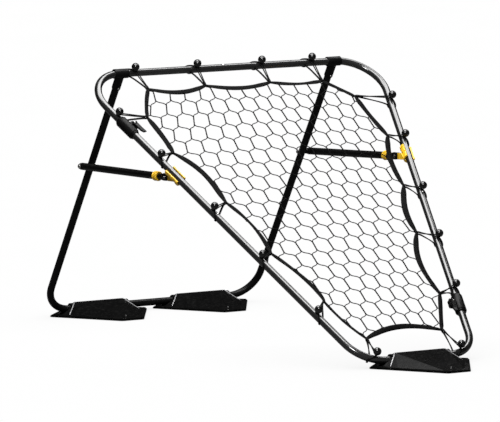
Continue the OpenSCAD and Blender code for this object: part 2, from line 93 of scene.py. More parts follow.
def outer_loop(node):
    """The outline corners of a flat CAD node in the ring frame, in order, as (x, s)."""
    mesh = frame["nodes"][node].data
    uses = {}
    for poly in mesh.polygons:
        if poly.normal.dot(OUT) < 0.9:
            continue
        keys = []
        for v in poly.vertices:
            x, s, _ = ring_coords(mesh.vertices[v].co)
            keys.append((round(x, 2), round(s, 2)))
        for a, b in zip(keys, keys[1:] + keys[:1]):
            edge = tuple(sorted((a, b)))
            uses[edge] = uses.get(edge, 0) + 1
    follow = {}
    for a, b in [e for e, count in uses.items() if count == 1]:
        follow.setdefault(a, []).append(b)
        follow.setdefault(b, []).append(a)
    loops = []
    while follow:
        loop = [min(follow)]
        while loop[-1] in follow:
            ends = [p for p in follow.pop(loop[-1]) if p in follow]
            if not ends:
                break
            loop.append(ends[0])
        loops.append(loop)
    return max(loops, key=lambda l: max(p[0] for p in l) - min(p[0] for p in l))


def ball_centre(corner):
    """The centre of the bungee ball nearest to a net corner, in the ring frame."""
    points = [ring_coords(v.co) for v in frame["nodes"]["bungee_balls"].data.vertices]
    near = min(points, key=lambda p: math.dist(p[:2], corner))
    cluster = [p for p in points if math.dist(p, near) < 32]
    return [(min(p[i] for p in cluster) + max(p[i] for p in cluster)) / 2 for i in range(3)]


# ---------------------------------------------------------------- meshes


class Builder:
    """Collects surfaces into one mesh, with UVs in metres along and round each of them."""

    def __init__(self):
        self.verts = []
        self.faces = []
        self.uvs = []

    def loft(self, rings, loop=False, caps=True):
        """Skins rings of equal counts of points; loop joins the last ring to the first."""
        count = len(rings[0])
        base = len(self.verts)
        middle = [sum(r, Vector()) / count for r in rings]
        along = [0.0]
        for a, b in zip(middle, middle[1:]):
            along.append(along[-1] + (b - a).length)
        if loop:
            along.append(along[-1] + (middle[0] - middle[-1]).length)
        round_it = []
        for r in rings:
            steps = [0.0]
            for a, b in zip(r, r[1:] + r[:1]):
                steps.append(steps[-1] + (b - a).length)
            round_it.append(steps)
        for r in rings:
            self.verts.extend(r)
        for i in range(len(rings) if loop else len(rings) - 1):
            j = (i + 1) % len(rings)
            for k in range(count):
                m = (k + 1) % count
                self.faces.append(
                    (base + i * count + k, base + i * count + m, base + j * count + m,
                     base + j * count + k)
                )
                self.uvs.append(
                    [(along[i], round_it[i][k]), (along[i], round_it[i][k + 1]),
                     (along[i + 1], round_it[j][k + 1]), (along[i + 1], round_it[j][k])]
                )
        if caps and not loop:
            first = tuple(base + k for k in reversed(range(count)))
            last = tuple(base + (len(rings) - 1) * count + k for k in range(count))
            for cap in (first, last):
                self.faces.append(cap)
                self.uvs.append([(0.0, 0.0)] * count)

    def strand(self, path, radius, sides=6):
        """A round cord along a path of points; radius is in mm, one number or one for each."""
        radii = radius if isinstance(radius, list) else [radius] * len(path)
        rings = []
        normal = None
        for i, p in enumerate(path):
            tangent = (path[min(i + 1, len(path) - 1)] - path[max(i - 1, 0)]).normalized()
            normal = tangent.orthogonal() if normal is None else normal
            normal = (normal - tangent * normal.dot(tangent)).normalized()
            side = tangent.cross(normal)
            ring = []
            for k in range(sides):
                a = 2 * math.pi * k / sides
                ring.append(p + (normal * math.cos(a) + side * math.sin(a)) * radii[i] * MM)
            rings.append(ring)
        self.loft(rings)

    def lathe(self, profile, origin, axis, sides=32, wobble=None):
        """Turns (radius, height) points about an axis; a closed profile makes a ring."""
        normal = axis.orthogonal().normalized()
        side = axis.cross(normal)
        rings = []
        for k in range(sides):
            a = 2 * math.pi * k / sides
            way = normal * math.cos(a) + side * math.sin(a)
            ring = []
            for i, (r, h) in enumerate(profile):
                extra = wobble(i, a) if wobble else 0.0
                ring.append(origin + (way * (r + extra) + axis * h) * MM)
            rings.append(ring)
        self.loft(rings, loop=True)


def piece(name, builder, material, body, replaced=(), sharp=40.0):
    """Makes the builder's mesh a piece that rides on a body and stands for CAD nodes."""
    mesh = bpy.data.meshes.new(name)
    mesh.from_pydata([tuple(v) for v in builder.verts], [], builder.faces)
    layer = mesh.uv_layers.new(name="metres")
    flat = [c for face in builder.uvs for uv in face for c in uv]
    layer.data.foreach_set("uv", flat)
    mesh.materials.append(material)
    mesh.shade_smooth()
    mesh.set_sharp_from_angle(angle=math.radians(sharp))
    obj = bpy.data.objects.new(name, mesh)
    bpy.context.scene.collection.objects.link(obj)
    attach(obj, body)
    if replaced:
        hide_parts(*replaced)
    return obj


def rounded(points, rounds=2):
    """Cuts the corners of an open path, keeping its ends."""
    for _ in range(rounds):
        cut = [points[0]]
        for a, b in zip(points, points[1:]):
            cut += [a.lerp(b, 0.25), a.lerp(b, 0.75)]
        points = cut + [points[-1]]
    return points


def between(value, table):
    """Reads a value off a table of (input, output) pairs, straight between its entries."""
    for (a, fa), (b, fb) in zip(table, table[1:]):
        if value <= b:
            return fa + (fb - fa) * max(value - a, 0) / (b - a)
    return table[-1][1]


# ---------------------------------------------------------------- materials


class Shader:
    """A node material, with short calls for adding and joining its nodes."""

    def __init__(self, name):
        self.material = bpy.data.materials.new(name)
        self.material.use_nodes = True
        self.tree = self.material.node_tree
        self.bsdf = self.tree.nodes["Principled BSDF"]
        self.heights = []

    def put(self, target, value):
        if isinstance(value, bpy.types.NodeSocket):
            self.tree.links.new(value, target)
        else:
            target.default_value = value

    def node(self, kind, *inputs, out=0, **settings):
        n = self.tree.nodes.new("ShaderNode" + kind)
        for key, value in settings.items():
            if key in n.inputs:
                self.put(n.inputs[key], value)
            else:
                setattr(n, key, value)
        for i, value in enumerate(inputs):
            if value is not None:
                self.put(n.inputs[i], value)
        return n.outputs[out]

    def math(self, operation, *inputs):
        return self.node("Math", *inputs, operation=operation)

    def place(self):
        return self.node("TexCoord", out=3)

    def noise(self, scale, detail=4.0, stretch=None, roughness=0.55):
        where = self.place()
        if stretch:
            where = self.node("Mapping", where, Scale=stretch)
        return self.node("TexNoise", Vector=where, Scale=scale, Detail=detail,
                         Roughness=roughness)

    def span(self, value, low, high, to_low=0.0, to_high=1.0):
        return self.node("MapRange", value, low, high, to_low, to_high)

    def blend(self, factor, a, b):
        n = self.tree.nodes.new("ShaderNodeMix")
        n.data_type = "RGBA"
        self.put(n.inputs[0], factor)
        self.put(n.inputs[6], a)
        self.put(n.inputs[7], b)
        return n.outputs[2]

    def bump(self, height, depth_mm, strength=1.0):
        """Adds relief of a given depth to what is there already."""
        n = self.tree.nodes.new("ShaderNodeBump")
        n.inputs["Strength"].default_value = strength
        n.inputs["Distance"].default_value = depth_mm * MM
        self.put(n.inputs["Height"], height)
        if self.heights:
            self.put(n.inputs["Normal"], self.heights[-1])
        self.heights.append(n.outputs[0])
        self.put(self.bsdf.inputs["Normal"], n.outputs[0])

    def set(self, **values):
        for key, value in values.items():
            self.put(self.bsdf.inputs[key.replace("_", " ")], value)


def grey(v, tint=(1.0, 1.0, 1.0)):
    return (v * tint[0], v * tint[1], v * tint[2], 1.0)


def painted_tube(name, base, roughness, specular):
    """Powder coat: orange peel, drifting gloss, hair scratches and a little dust on top."""
    m = Shader(name)
    cloud = m.noise(14, 3.0)
    peel = m.noise(420, 2.0)
    hairs = m.noise(30, 6.0, stretch=(40, 3, 3))
    scratch = m.span(hairs, 0.66, 0.72)
    up = m.node("SeparateXYZ", m.node("NewGeometry", out=1), out=2)
    dust = m.math("MULTIPLY", m.span(up, 0.4, 1.0), m.span(m.noise(160, 5.0), 0.45, 0.8, 0, 0.25))
    colour = m.blend(m.span(cloud, 0.3, 0.7), grey(base * 0.86), grey(base * 1.14))
    colour = m.blend(m.math("MULTIPLY", scratch, 0.2), colour, grey(base * 1.8))
    colour = m.blend(m.math("MULTIPLY", dust, 0.3), colour, grey(0.3, (1.0, 0.98, 0.94)))
    shine = m.span(cloud, 0.25, 0.75, roughness * 0.85, roughness * 1.2)
    m.set(Base_Color=colour, Specular_IOR_Level=specular)
    m.set(Roughness=m.math("ADD", shine, m.math("MULTIPLY", dust, 0.5)))
    m.bump(peel, 0.006, 0.3)
    return m.material


def moulding(name, base, tint, roughness, wear, grain=0.06, coat=0.0, specular=0.5):
    """Moulded plastic: spark-eroded grain, flow marks, rubbed patches and settled dust."""
    m = Shader(name)
    cells = m.node("TexVoronoi", Vector=m.place(), Scale=1500.0)
    fine = m.noise(2600, 2.0)
    flow = m.noise(22, 4.0, stretch=(1, 2.4, 1))
    rub = m.span(m.noise(55, 6.0), 0.56, 0.7)
    up = m.node("SeparateXYZ", m.node("NewGeometry", out=1), out=2)
    dust = m.math("MULTIPLY", m.span(up, 0.5, 1.0), m.span(m.noise(90, 6.0), 0.5, 0.8, 0, 0.3))
    colour = m.blend(m.span(flow, 0.3, 0.7), grey(base * 0.88, tint), grey(base * 1.1, tint))
    colour = m.blend(m.math("MULTIPLY", rub, wear), colour, grey(base * 1.4 + 0.003, tint))
    colour = m.blend(m.math("MULTIPLY", dust, 0.1), colour, grey(0.3, (1.0, 0.97, 0.92)))
    shine = m.span(flow, 0.3, 0.7, roughness * 0.88, roughness * 1.12)
    m.set(Base_Color=colour, Coat_Weight=coat, Coat_Roughness=0.08, Specular_IOR_Level=specular)
    m.set(Roughness=m.math("SUBTRACT", shine, m.math("MULTIPLY", rub, 0.08)))
    m.bump(cells, grain, 0.6)
    m.bump(fine, grain * 0.5, 0.5)
    return m.material


def steel(name):
    """Bright zinc plate: turning lines, a faint yellow cast and dull spots."""
    m = Shader(name)
    lines = m.noise(900, 3.0, stretch=(1, 14, 14))
    spots = m.noise(140, 4.0)
    colour = m.blend(m.span(spots, 0.4, 0.7), grey(0.62, (1.0, 0.99, 0.95)), grey(0.78))
    m.set(Base_Color=colour, Metallic=1.0, Roughness=m.span(spots, 0.3, 0.7, 0.2, 0.42))
    m.bump(lines, 0.03, 0.5)
    return m.material


def along_and_round(m):
    uv = m.node("UVMap", uv_map="metres")
    split = m.node("SeparateXYZ", uv)
    return split, split.node.outputs[1]


def stripes(m, value, pitch_mm, offset=0.0):
    """A rounded ridge every pitch along a value that is in metres, from 0 to 1."""
    phase = m.math("MULTIPLY", value, 2 * math.pi / (pitch_mm * MM))
    phase = m.math("ADD", phase, offset)
    return m.math("MULTIPLY_ADD", m.math("SINE", phase), 0.5, 0.5)


def cord(name, base, pitch_mm, roughness):
    """Braided cord: yarns crossing both ways round it, with painted shade in the hollows between
    the yarns and painted light on their crests, and fuzz.
    """
    m = Shader(name)
    along, turn = along_and_round(m)
    one = stripes(m, m.math("ADD", along, turn), pitch_mm)
    two = stripes(m, m.math("SUBTRACT", along, turn), pitch_mm, 1.3)
    yarns = m.math("MAXIMUM", one, two)
    fuzz = m.noise(1500, 4.0)
    painted_shade_and_fuzz = m.math("MULTIPLY", yarns, m.span(fuzz, 0.3, 0.7, 0.7, 1.0))
    # Dark in the hollows and light on the crests: painted shade and painted light from the yarns'
    # relief, mottled by the fuzz.
    colour = m.blend(painted_shade_and_fuzz, grey(base * 0.4), grey(base * 1.4))
    m.set(Base_Color=colour, Roughness=m.span(fuzz, 0.3, 0.7, roughness, roughness + 0.15))
    m.set(Specular_IOR_Level=0.08)
    m.bump(yarns, 0.25, 0.7)
    m.bump(fuzz, 0.08, 0.6)
    return m.material


def woven(name, base, half_girth_mm):
    """Folded webbing: weft ribs and fine warp, with painted shade between the ribs and painted
    light on them, and a row of lock stitches near each edge.
    """
    m = Shader(name)
    along, turn = along_and_round(m)
    ribs = stripes(m, along, 1.9)
    warp = stripes(m, turn, 0.9)
    weave = m.math("MULTIPLY", ribs, m.span(warp, 0.0, 1.0, 0.55, 1.0))
    fuzz = m.noise(1100, 4.0)
    wear = m.noise(26, 4.0)
    folded = m.math("PINGPONG", turn, half_girth_mm * MM)
    rows = None
    for edge in (0.2, 0.8):
        off = m.math("ABSOLUTE", m.math("SUBTRACT", folded, edge * half_girth_mm * MM))
        row = m.math("LESS_THAN", off, 0.5 * MM)
        rows = row if rows is None else m.math("MAXIMUM", rows, row)
    dash = m.span(stripes(m, along, 4.2), 0.22, 0.34)
    stitch = m.math("MULTIPLY", rows, dash)
    # Painted shade in the hollows of the weave and painted light on its ribs.
    colour = m.blend(weave, grey(base * 0.45), grey(base * 1.35))
    colour = m.blend(m.span(wear, 0.45, 0.75, 0, 0.5), colour, grey(base * 1.6))
    colour = m.blend(stitch, colour, grey(base * 2.2))
    m.set(Base_Color=colour, Roughness=m.span(fuzz, 0.3, 0.7, 0.55, 0.75))
    m.set(Specular_IOR_Level=0.04)
    m.bump(weave, 0.22, 0.7)
    m.bump(stitch, 0.35, 0.8)
    m.bump(fuzz, 0.06, 0.5)
    return m.material


YELLOW = (1.0, 0.60, 0.025)
PLAIN = (1.0, 1.0, 1.02)
ring_paint = painted_tube("ring_tube", 0.012, 0.16, 1.0)
leg_paint = painted_tube("leg_tube", 0.004, 0.3, 0.12)
black = moulding("moulded_black", 0.004, PLAIN, 0.33, 0.4, grain=0.03, specular=0.09)
foot_black = moulding("foot_rubber", 0.003, PLAIN, 0.3, 0.4, grain=0.03, specular=0.03)
# Light grey where the rest of the foot is black: a painted highlight on the ribs along the feet's
# creases, with real gloss on top.
rib_gloss_and_painted_highlight = moulding("foot_rib", 0.3, PLAIN, 0.2, 0.2, grain=0.01, specular=1.0, coat=0.5)
yellow = moulding("yellow_plastic", 0.9, YELLOW, 0.36, 0.2, grain=0.03, coat=0.2)
ball_gloss = moulding("ball_plastic", 0.004, PLAIN, 0.1, 0.2, grain=0.004, coat=0.4)
bright = steel("zinc_steel")
elastic = cord("elastic_cord", 0.003, 1.5, 0.55)
net_yarn = cord("net_cord", 0.002, 1.1, 0.65)
webbing_cloth = woven("webbing", 0.0028, 23)

# ---------------------------------------------------------------- the net's outline

corners = outer_loop("net_border")
start = min(range(len(corners)), key=lambda i: corners[i][0] + corners[i][1])
corners = corners[start:] + corners[:start]
if corners[1][0] < corners[-1][0]:
    corners = corners[:1] + corners[:0:-1]
balls = [ball_centre(c) for c in corners]
low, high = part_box("net_border")
NET_N = ring_coords((low + high) / 2)[2]

# How far the webbing hangs in from the line between two corners, and where along it
SAGS = [32, 27, 17, 2, 10, 24, 25, 38, 5, 44, -6, 25, 28, 36, 11, 0]
PEAKS = [0.5, 0.5, 0.5, 0.5, 0.45, 0.5, 0.55, 0.5, 0.4, 0.5, 0.5, 0.4, 0.5, 0.56, 0.4, 0.5]
CORNER_IN = 5


def inwards(a, b):
    """The unit normal of a span that points into the net; the outline runs clockwise."""
    length = math.dist(a, b)
    return -(b[1] - a[1]) / length, (b[0] - a[0]) / length


def on_span(i, t):
    """A point of the webbing's centre line in the ring frame, for t from 0 to 1."""
    a, b = corners[i], corners[(i + 1) % len(corners)]
    nx, ns = inwards(a, b)
    skew = math.log(0.5) / math.log(PEAKS[i])
    hang = (SAGS[i] - CORNER_IN) * math.sin(math.pi * t**skew) ** 0.9 + CORNER_IN
    return a[0] + (b[0] - a[0]) * t + nx * hang, a[1] + (b[1] - a[1]) * t + ns * hang


SPAN_STEPS = 16
outline = [on_span(i, k / SPAN_STEPS) for i in range(len(corners)) for k in range(SPAN_STEPS)]


def inside(p):
    """Whether a point lies within the webbing's centre line."""
    found = False
    for (ax, ay), (bx, by) in zip(outline, outline[1:] + outline[:1]):
        if (ay > p[1]) != (by > p[1]) and p[0] < ax + (bx - ax) * (p[1] - ay) / (by - ay):
            found = not found
    return found


# ---------------------------------------------------------------- webbing

WEB_WIDE = 21.0
WEB_NARROW = 10.0
WEB_THICK = 4.4
SECTION = 14
WEB_STEPS = 26
# A span that sags less than this is taut, and narrower
TAUT_SAG = 6
TAUT_WIDTH = 0.78


def webbing_span(builder, i):
    """One sleeve of webbing between two corners, gathered at both ends."""
    lean = RANDOM.uniform(-0.35, 0.35)
    path = [on_span(i, k / WEB_STEPS) for k in range(WEB_STEPS + 1)]
    rings = []
    for k, (x, s) in enumerate(path):
        t = k / WEB_STEPS
        x1, s1 = path[min(k + 1, WEB_STEPS)]
        x0, s0 = path[max(k - 1, 0)]
        length = math.dist((x0, s0), (x1, s1))
        nx, ns = -(s1 - s0) / length, (x1 - x0) / length
        swell = min(1.0, math.sin(math.pi * t) * 2.2) ** 0.8
        wide = WEB_NARROW + (WEB_WIDE - WEB_NARROW) * swell
        if SAGS[i] < TAUT_SAG:
            wide *= TAUT_WIDTH
        thick = WEB_THICK + 1.6 * (1 - swell)
        turn = lean * math.sin(math.pi * t) + 0.08 * math.sin(9 * t + i)
        ring = []
        for j in range(SECTION):
            a = 2 * math.pi * j / SECTION
            u = math.copysign(abs(math.cos(a)) ** 0.75, math.cos(a)) * wide / 2
            v = math.sin(a) * thick / 2 * (1 - 0.25 * math.cos(a) ** 4)
            across = u * math.cos(turn) - v * math.sin(turn)
            proud = u * math.sin(turn) + v * math.cos(turn)
            ring.append(place(x + nx * across, s + ns * across, NET_N + proud))
        rings.append(ring)
    builder.loft(rings)


webbing = Builder()
for i in range(len(corners)):
    webbing_span(webbing, i)
piece("net_webbing", webbing, webbing_cloth, "ring", ["net_border"])

# ---------------------------------------------------------------- net

ROW = 65.7
FIRST_ROW = 137
ROWS = 20
COLUMNS_EACH_WAY = 9
TWIST_HALF = 20.5
TWIST_R = 1.35
YARN_R = 1.7
TWIST_YARN_R = 1.55
# The spacing of the columns and the place of the middle one, by place down the net
PITCHES = [(137, 58), (205, 60), (400, 65), (800, 65), (1200, 60.5), (1400, 57)]
DRIFTS = [(137, -10), (270, -25), (400, -37.5), (530, -44), (792, -52), (1060, -60), (1400, -74)]
# The net is drawn a little wider on its left than on its right
LEFT_STRETCH = 1.03
RIGHT_SHRINK = 0.95
CORNER_PULL = 13
PULL_REACH = 130


def pulled(x, s):
    """Draws a point of the net towards the corners near it, and makes it a little uneven."""
    dx = dy = 0.0
    for cx, cs in corners:
        d = math.dist((x, s), (cx, cs))
        if d < PULL_REACH:
            k = CORNER_PULL * (1 - d / PULL_REACH) ** 2 / max(d, 1)
            dx += (cx - x) * k
            dy += (cs - s) * k
    noise = 1.1 * math.sin(x * 0.051 + s * 0.037) + 0.9 * math.sin(x * 0.093 - s * 0.071 + 2)
    return x + dx + noise, s + dy + 0.8 * math.cos(x * 0.067 + s * 0.045)


def knot(row, column, end):
    """The end (-1 upper, 1 lower) of the twisted side at a row and column of the net."""
    s = FIRST_ROW + ROW * row
    steps = column + 0.5 * (row % 2)
    x = between(s, DRIFTS) + between(s, PITCHES) * steps
    x *= LEFT_STRETCH if x < 0 else RIGHT_SHRINK
    lean = 0.42 * min(1, max(0, -x / 300)) * min(1, max(0, (520 - s) / 200))
    return pulled(x - end * lean * TWIST_HALF, s + end * TWIST_HALF)


def clipped(a, b):
    """The part of a yarn from a to b that lies within the webbing, or None."""
    ina, inb = inside(a), inside(b)
    if not ina and not inb:
        return None
    if ina and inb:
        return a, b
    near, far = (a, b) if ina else (b, a)
    lo, hi = 0.0, 1.0
    for _ in range(12):
        mid = (lo + hi) / 2
        p = (near[0] + (far[0] - near[0]) * mid, near[1] + (far[1] - near[1]) * mid)
        lo, hi = (mid, hi) if inside(p) else (lo, mid)
    cut = (near[0] + (far[0] - near[0]) * lo, near[1] + (far[1] - near[1]) * lo)
    return (near, cut) if ina else (cut, near)


def net_n(x, s):
    """The net bellies back a little in its middle."""
    return NET_N - 5 * math.sin(math.pi * max(0, min(1, (s - 90) / 1300))) ** 2


def twisted_side(builder, a, b):
    """Two yarns twisted round each other from a to b."""
    steps = 14
    length = math.dist(a, b)
    nx, ns = -(b[1] - a[1]) / length, (b[0] - a[0]) / length
    turns = 2.5 * length / (2 * TWIST_HALF)
    for yarn in (0.0, math.pi):
        path = []
        for k in range(steps + 1):
            t = k / steps
            angle = yarn + 2 * math.pi * turns * t
            x = a[0] + (b[0] - a[0]) * t + nx * TWIST_R * math.cos(angle)
            s = a[1] + (b[1] - a[1]) * t + ns * TWIST_R * math.cos(angle)
            path.append(place(x, s, net_n(x, s) + TWIST_R * math.sin(angle)))
        builder.strand(path, TWIST_YARN_R, sides=5)


def single_yarn(builder, a, b):
    """One yarn from knot to knot, leaving each along the twist."""
    steps = 7
    drop = (b[1] - a[1]) * 0.22
    path = []
    radii = []
    for k in range(steps + 1):
        t = k / steps
        ease = t * t * (3 - 2 * t)
        x = a[0] + (b[0] - a[0]) * (0.45 * t + 0.55 * ease)
        s = a[1] + (b[1] - a[1]) * t + drop * math.sin(2 * math.pi * t) * 0.35
        path.append(place(x, s, net_n(x, s) + 0.5 * math.sin(math.pi * t)))
        radii.append(YARN_R + 0.7 * abs(2 * t - 1) ** 6)
    builder.strand(path, radii, sides=5)


net = Builder()
for row in range(ROWS):
    for column in range(-COLUMNS_EACH_WAY, COLUMNS_EACH_WAY + 1):
        side = clipped(knot(row, column, -1), knot(row, column, 1))
        if side and math.dist(*side) > 2:
            twisted_side(net, *side)
        below = row + 1
        shift = row % 2
        for other in (column + shift - 1, column + shift):
            yarn = clipped(knot(row, column, 1), knot(below, other, -1))
            if yarn and math.dist(*yarn) > 2:
                single_yarn(net, *yarn)
        if row == 0:
            for other in (column - 1, column):
                yarn = clipped(knot(-1, other, 1), knot(0, column, -1))
                if yarn and math.dist(*yarn) > 2:
                    single_yarn(net, *yarn)
piece("net_cords", net, net_yarn, "ring", ["net_mesh"], sharp=180)

# ---------------------------------------------------------------- ball bungees

CORD_R = 2.1
WRAP_R = TUBE_R + CORD_R + 0.1
NECK_N = TUBE_R + 2.5
right_line = sorted((b for b in balls if b[0] > 200 and 150 < b[1] < 1400), key=lambda b: b[1])
LEAN = math.atan2(right_line[0][0] - right_line[-1][0], right_line[-1][1] - right_line[0][1])
# Angle round the tube from its inner side by way of its back, and place along the tube
WRAP = [(0, 21), (-45, 24), (-90, 28), (-135, 32), (-180, 33), (-215, 27), (-240, 17), (-262, 7)]
FOOT_BEND_R = 127
low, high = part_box("leg_button_right")
LEG_X = (low.x + high.x) / 2 / MM


def tube_at(ball):
    """The tube's axis under a ball, the way its bungee wraps along it, and the way in."""
    x, s, _ = ball
    if s < 60:
        return (x, s), (-1.0, 0.0), (0.0, 1.0)
    if s > RING_LEN - 60:
        half = right_line[0][0] - (RING_LEN - right_line[0][1]) * math.tan(LEAN)
        arc_x = half - FOOT_BEND_R * math.tan((math.pi / 2 - LEAN) / 2)
        a = math.asin(max(0.0, abs(x) - arc_x) / FOOT_BEND_R) * math.copysign(1, x)
        foot_s = RING_LEN - FOOT_BEND_R * (1 - math.cos(a))
        return (x, foot_s), (-math.cos(a), math.sin(a)), (-math.sin(a), -math.cos(a))
    hand = math.copysign(1, x)
    return (x, s), (-hand * math.sin(LEAN), math.cos(LEAN)), (
        -hand * math.cos(LEAN), -math.sin(LEAN))


def bungee(builder, corner, ball):
    """Two elastic cords: from the ball to the corner, through it, round the tube and back."""
    (tx, ts), (ax, as_), (ix, is_) = tube_at(ball)
    bx, bs, _ = ball
    way = math.dist(corner, (tx, ts))
    # A bungee comes back close behind its corner where a folded leg passes
    deep = 1.2 if abs(abs(corner[0]) - LEG_X) < TUBE_R + 2 else 5.0
    dx, ds = (corner[0] - tx) / way, (corner[1] - ts) / way

    def near_tube(along, angle, radius):
        inward = radius * math.cos(math.radians(angle))
        return place(tx + ax * along + ix * inward, ts + as_ * along + is_ * inward,
                     radius * math.sin(math.radians(angle)))

    for hand in (-1, 1):
        cross = (-ds * hand, dx * hand)
        path = [place(bx + ax * hand * 3.0, bs + as_ * hand * 3.0, NECK_N + 1.5)]
        path.append(place(bx + ax * hand * 5.0 + ix * 5, bs + as_ * hand * 5.0 + is_ * 5, NECK_N))
        for reach, n, apart in ((-14, 3.2, 2.2), (2, 5.0, 1.6), (7, 3.0, 1.6),
                                (7, -0.6 * deep, 1.6), (1, -deep, 1.6), (-10, -0.8 * deep, 1.8)):
            path.append(place(corner[0] + dx * reach + cross[0] * apart,
                              corner[1] + ds * reach + cross[1] * apart, NET_N + n))
        for angle, along in WRAP:
            path.append(near_tube(along + hand * 1.6, angle, WRAP_R))
        path.append(place(bx + ax * (2 + hand), bs + as_ * (2 + hand), NECK_N + 1.0))
        builder.strand(rounded(path, 2), CORD_R, sides=8)


cords = Builder()
for corner, ball in zip(corners, balls):
    bungee(cords, corner, ball)
piece("bungee_loops", cords, elastic, "ring", ["bungee_cords"], sharp=180)

# Each ball has a flared neck, a parting groove and the dimple its knot is pressed into
BALL_R = 14.0
ball_mesh = Builder()
for ball in balls:
    profile = [(0.0, TUBE_R + 0.3), (5.0, TUBE_R + 0.5), (6.4, TUBE_R + 1.0), (5.6, TUBE_R + 2.2)]
    for k in range(3, 34):
        a = math.radians(-90 + k * 5.0)
        r, h = BALL_R * math.cos(a), ball[2] + BALL_R * math.sin(a)
        groove = 0.35 if k == 18 else 0.0
        profile.append((r - groove, h))
    top = ball[2] + BALL_R
    profile += [(3.2, top - 0.5), (2.6, top - 1.2), (2.3, top - 3.0), (0.0, top - 3.4)]
    base = place(ball[0], ball[1])
    ball_mesh.lathe(profile, base, OUT, sides=28)
piece("bungee_ball_set", ball_mesh, ball_gloss, "ring", ["bungee_balls"])

# ---------------------------------------------------------------- collars and clip trim

GRIPS = 20
GRIP_ROWS = (6, 7)


def finger_grips(i, a):
    """Hollows round the middle of a collar's outside."""
    return -0.5 * (1 - math.cos(GRIPS * a)) if i in GRIP_ROWS else 0.0


for hand in ("left", "right"):
    twist = f"collar_{hand}_twist"
    collar = Builder()
    bore = TUBE_R + 0.15
    profile = [
        (13.2, 4.0), (14.9, 4.0), (15.5, 3.2), (15.5, 1.0), (16.9, 0.2), (16.9, -2.5), (16.2, -3.5),
        (16.2, -15.0), (17.0, -16.0), (17.0, -18.4), (16.2, -19.2), (15.4, -20.0), (15.2, -21.6),
        (14.4, -22.0), (bore, -22.0), (bore, -0.2), (bore - 1.2, 0.3), (11.2, 0.6), (11.2, 4.0),
    ]
    collar.lathe(profile, joint_at(twist), joint_axis(twist), sides=80, wobble=finger_grips)
    piece(f"collar_{hand}_ribbed", collar, yellow, f"collar_{hand}",
          [f"arm_collar_{hand}"])


def clip_centre(name, hand):
    """The middle of a clip on the side tube's axis, from the clip's place down the ring."""
    points = [ring_coords(v.co) for v in frame["nodes"][f"tube_clip_{name}"].data.vertices]
    ahead = [p for p in points if p[2] > -2]
    s = (min(p[1] for p in ahead) + max(p[1] for p in ahead)) / 2
    return place(hand * (right_line[0][0] - (s - right_line[0][1]) * math.tan(LEAN)), s)


# Each clip's lips: two walls with ribbed ends, open the way the tube leaves the clip
CLIP_HALF = 31
LIP_TURN = math.radians(18)
LIP_TOP = 8.0
LIP_ROOT = -7.0
LIP_IN = TUBE_R + 1.6
LIP_OUT = 19.5
LIP_RIB = 1.5
# Places along a lip and whether it is ribbed there, from one end to the middle
LIP_PLACES = [(CLIP_HALF, False), (CLIP_HALF - 1, True), (CLIP_HALF - 8, True),
              (CLIP_HALF - 9, False), (4, False), (3, True)]


def lip(builder, centre, along, outward, front, hand):
    """One wall of a clip, lofted along the tube with a rib at both ends and in the middle."""
    places = [(-at, ribbed) for at, ribbed in LIP_PLACES] + LIP_PLACES[::-1]
    rings = []
    for at, ribbed in places:
        outer = LIP_OUT + (LIP_RIB if ribbed else 0.0)
        wall = [(LIP_IN, LIP_ROOT), (LIP_IN, 0.0), (LIP_IN, LIP_TOP - 1.0), (LIP_IN + 0.8, LIP_TOP)]
        wall.append((math.sqrt(outer**2 - LIP_TOP**2) - 0.8, LIP_TOP))
        wall += [(math.sqrt(outer**2 - v**2), v) for v in (LIP_TOP - 2.0, 0.0, LIP_ROOT)]
        ring = [centre + along * at * MM + (outward * hand * u + front * v) * MM for u, v in wall]
        rings.append(ring if hand > 0 else ring[::-1])
    builder.loft(rings)


for name in ("left", "right"):
    hand = -1 if name == "left" else 1
    tube_axis = (UP * math.cos(LEAN) + X * hand * math.sin(LEAN)).normalized()
    sideways = (X * hand * math.cos(LEAN) - UP * math.sin(LEAN)).normalized()
    centre = clip_centre(name, hand)
    outward = sideways * math.cos(LIP_TURN) - OUT * math.sin(LIP_TURN)
    front = OUT * math.cos(LIP_TURN) + sideways * math.sin(LIP_TURN)
    lips = Builder()
    for side in (-1, 1):
        lip(lips, centre, tube_axis, outward, front, side)
    piece(f"clip_{name}_lips", lips, yellow, f"clip_{name}")

# ---------------------------------------------------------------- ribs of the feet

# Two ribs run from each end of a foot's ridge down its hipped end to the plate, light grey on the
# black foot as a painted highlight along its creases. Places are (across, towards the back, up)
# from the floor under the middle of the foot's bar
RIDGE_END = (101, -3, 47.5)
RIB_FOOT = (147, -45, 8)
# How far in each rib lies, and its radius
FOOT_RIBS = [(0.0, 1.9), (7.0, 1.14)]
RIB_STEPS = 12


def foot_ribs(builder, shell, bar_y):
    """The ribs of one foot, thinner towards both of their ends."""
    low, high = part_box(shell)
    middle = Vector(((low.x + high.x) / 2, bar_y, 0))
    for hand in (-1, 1):
        for inset, radius in FOOT_RIBS:
            ends = [middle + Vector((hand * (x - inset), y, z)) * MM
                    for x, y, z in (RIDGE_END, RIB_FOOT)]
            path = [ends[0].lerp(ends[1], k / RIB_STEPS) for k in range(RIB_STEPS + 1)]
            radii = [radius * min(1.0, 0.45 + k / 4, 0.45 + (RIB_STEPS - k) / 4)
                     for k in range(RIB_STEPS + 1)]
            builder.strand(path, radii, sides=8)


REAR_Y = joint_at("rear_foot_left_turn").y
for body, shell, bar_y in (("front_foot", "front_foot_shell", FOOT.y),
                           ("rear_foot_left", "rear_foot_shell_left", REAR_Y),
                           ("rear_foot_right", "rear_foot_shell_right", REAR_Y)):
    ribs = Builder()
    foot_ribs(ribs, shell, bar_y)
    piece(f"{body}_ribs", ribs, rib_gloss_and_painted_highlight, body)

# ---------------------------------------------------------------- finishes of the CAD nodes

